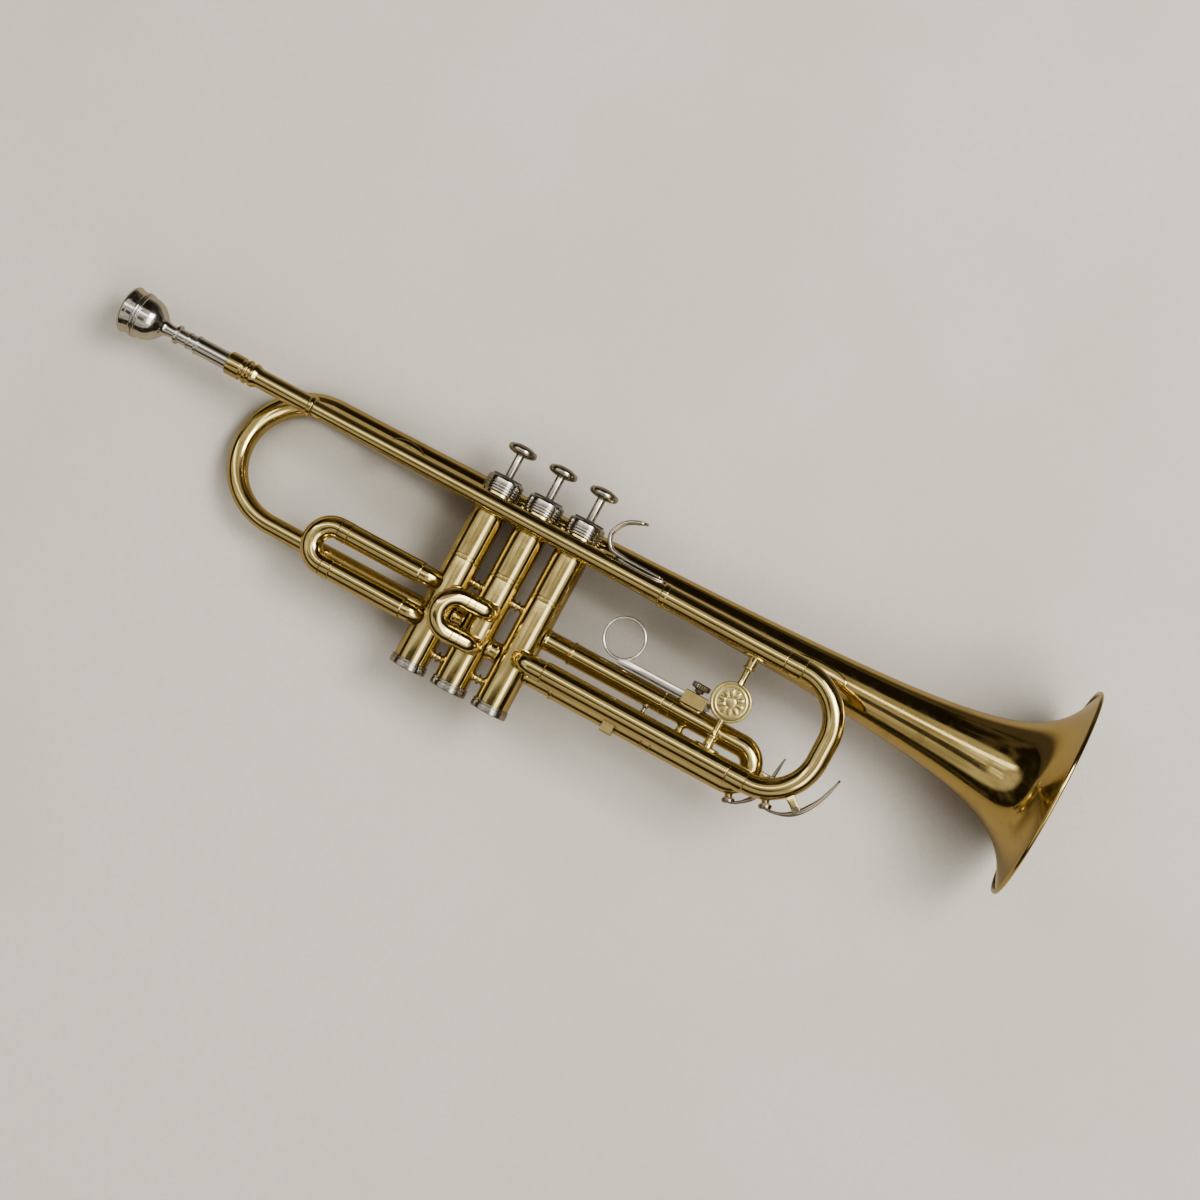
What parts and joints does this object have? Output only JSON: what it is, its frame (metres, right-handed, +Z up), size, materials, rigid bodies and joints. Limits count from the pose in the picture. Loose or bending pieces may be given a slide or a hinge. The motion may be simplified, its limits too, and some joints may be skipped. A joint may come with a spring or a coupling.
{
  "type": "b-flat piston trumpet",
  "caption": "Lacquered brass piston trumpet with flared bell, main tuning slide, side loops on the valves, finger hook, finger ring, water keys and a silver mouthpiece.",
  "frame": {"origin": "centre of the second valve's bottom cap, on the cap's underside", "axes": "+X along the bell axis toward the bell mouth, +Z up the valves toward the finger buttons, -Y toward the leadpipe side, the player's right"},
  "size_m": [0.5654, 0.123, 0.167],
  "materials": {
    "lacquered_brass": "polished, clear lacquer",
    "bell_brass": "polished, clear lacquer",
    "medallion_brass": "satin",
    "guide_brass": "plain machined",
    "silver_plate": "polished silver plate",
    "nickel_plate": "nickel plate, lightly tarnished",
    "dark_nickel": "tarnished nickel",
    "piston_nickel": "honed nickel",
    "tarnished_steel": "dark tarnish",
    "spring_steel": "drawn wire",
    "black_felt": "felt",
    "cork": "cork"
  },
  "bodies": {
    "instrument": {"mouthpiece_receiver": "lacquered_brass", "leadpipe": "lacquered_brass", "finger_hook": "nickel_plate", "main_slide_upper_tube": "lacquered_brass", "main_slide_lower_tube": "lacquered_brass", "bell": "bell_brass", "bell_rim_wire": "bell_brass", "bell_bow": "lacquered_brass", "bell_brace_rear": "lacquered_brass", "bell_brace_front": "lacquered_brass", "medallion_posts": "lacquered_brass", "medallion": "medallion_brass", "valve_casing_1": "lacquered_brass", "valve_casing_2": "lacquered_brass", "valve_casing_3": "lacquered_brass", "casing_knuckles": "lacquered_brass", "casing_spools": "lacquered_brass", "bottom_caps": "nickel_plate", "top_caps": "nickel_plate", "cap_felts": "black_felt", "valve_guides": "guide_brass", "valve_spring_1": "spring_steel", "valve_spring_2": "spring_steel", "valve_spring_3": "spring_steel", "first_slide_outer_tubes": "lacquered_brass", "second_slide_outer_tubes": "lacquered_brass", "third_slide_outer_tubes": "lacquered_brass", "third_slide_fixed_brace": "nickel_plate", "slide_tie_plate": "lacquered_brass"},
    "mouthpiece": {"mouthpiece": "silver_plate"},
    "valve_1": {"piston_1": "piston_nickel", "valve_stem_1": "nickel_plate", "finger_button_1": "nickel_plate"},
    "valve_2": {"piston_2": "piston_nickel", "valve_stem_2": "nickel_plate", "finger_button_2": "nickel_plate"},
    "valve_3": {"piston_3": "piston_nickel", "valve_stem_3": "nickel_plate", "finger_button_3": "nickel_plate"},
    "tuning_slide": {"tuning_slide_legs": "lacquered_brass", "tuning_slide_bow": "lacquered_brass", "water_key_saddle": "lacquered_brass", "water_key_screw": "dark_nickel"},
    "water_key": {"water_key_lever": "dark_nickel", "water_key_cork": "cork"},
    "first_slide": {"first_slide_legs": "lacquered_brass", "first_slide_bow": "lacquered_brass"},
    "second_slide": {"second_slide_legs": "lacquered_brass", "second_slide_bow": "lacquered_brass"},
    "third_slide": {"third_slide_legs": "lacquered_brass", "third_slide_bow": "lacquered_brass", "third_slide_moving_brace": "lacquered_brass", "ring_clamp": "lacquered_brass", "third_water_key_saddle": "lacquered_brass", "third_water_key_screw": "dark_nickel"},
    "finger_ring": {"finger_ring": "silver_plate"},
    "ring_screw": {"ring_thumb_screw": "tarnished_steel"},
    "third_water_key": {"third_water_key_lever": "dark_nickel", "third_water_key_cork": "cork"}
  },
  "joints": [
    {"name": "mouthpiece_pull", "type": "slide", "parent": "instrument", "child": "mouthpiece", "axis": [-1, 0, 0], "range_m": [0, 0.03]},
    {"name": "valve_1_press", "type": "slide", "parent": "instrument", "child": "valve_1", "axis": [0, 0, -1], "range_m": [0, 0.0133], "stiffness_N_per_m": 120, "springref_m": -0.012, "deforming": ["valve_spring_1"]},
    {"name": "valve_2_press", "type": "slide", "parent": "instrument", "child": "valve_2", "axis": [0, 0, -1], "range_m": [0, 0.0133], "stiffness_N_per_m": 120, "springref_m": -0.012, "deforming": ["valve_spring_2"]},
    {"name": "valve_3_press", "type": "slide", "parent": "instrument", "child": "valve_3", "axis": [0, 0, -1], "range_m": [0, 0.0133], "stiffness_N_per_m": 120, "springref_m": -0.012, "deforming": ["valve_spring_3"]},
    {"name": "tuning_slide_pull", "type": "slide", "parent": "instrument", "child": "tuning_slide", "axis": [1, 0, 0], "range_m": [0, 0.03]},
    {"name": "water_key_press", "type": "hinge", "parent": "tuning_slide", "child": "water_key", "pos_m": [0.1965, -0.0165, 0.0344], "axis": [0, -1, 0], "range_deg": [0, 11], "stiffness_Nm_per_rad": 0.02},
    {"name": "first_slide_pull", "type": "slide", "parent": "instrument", "child": "first_slide", "axis": [-1, 0, 0], "range_m": [0, 0.02]},
    {"name": "second_slide_pull", "type": "slide", "parent": "instrument", "child": "second_slide", "axis": [-0.9272, -0.3746, 0], "range_m": [0, 0.0045]},
    {"name": "third_slide_pull", "type": "slide", "parent": "instrument", "child": "third_slide", "axis": [1, 0, 0], "range_m": [0, 0.02]},
    {"name": "finger_ring_shift", "type": "slide", "parent": "third_slide", "child": "finger_ring", "axis": [1, 0, 0], "range_m": [-0.002, 0.006]},
    {"name": "ring_screw_turn", "type": "hinge", "parent": "third_slide", "child": "ring_screw", "pos_m": [0.1213, 0, 0.0672], "axis": [0, 0, 1], "continuous": true},
    {"name": "third_water_key_press", "type": "hinge", "parent": "third_slide", "child": "third_water_key", "pos_m": [0.176, 0, 0.041], "axis": [0, -1, 0], "range_deg": [0, 10], "stiffness_Nm_per_rad": 0.02}
  ]
}
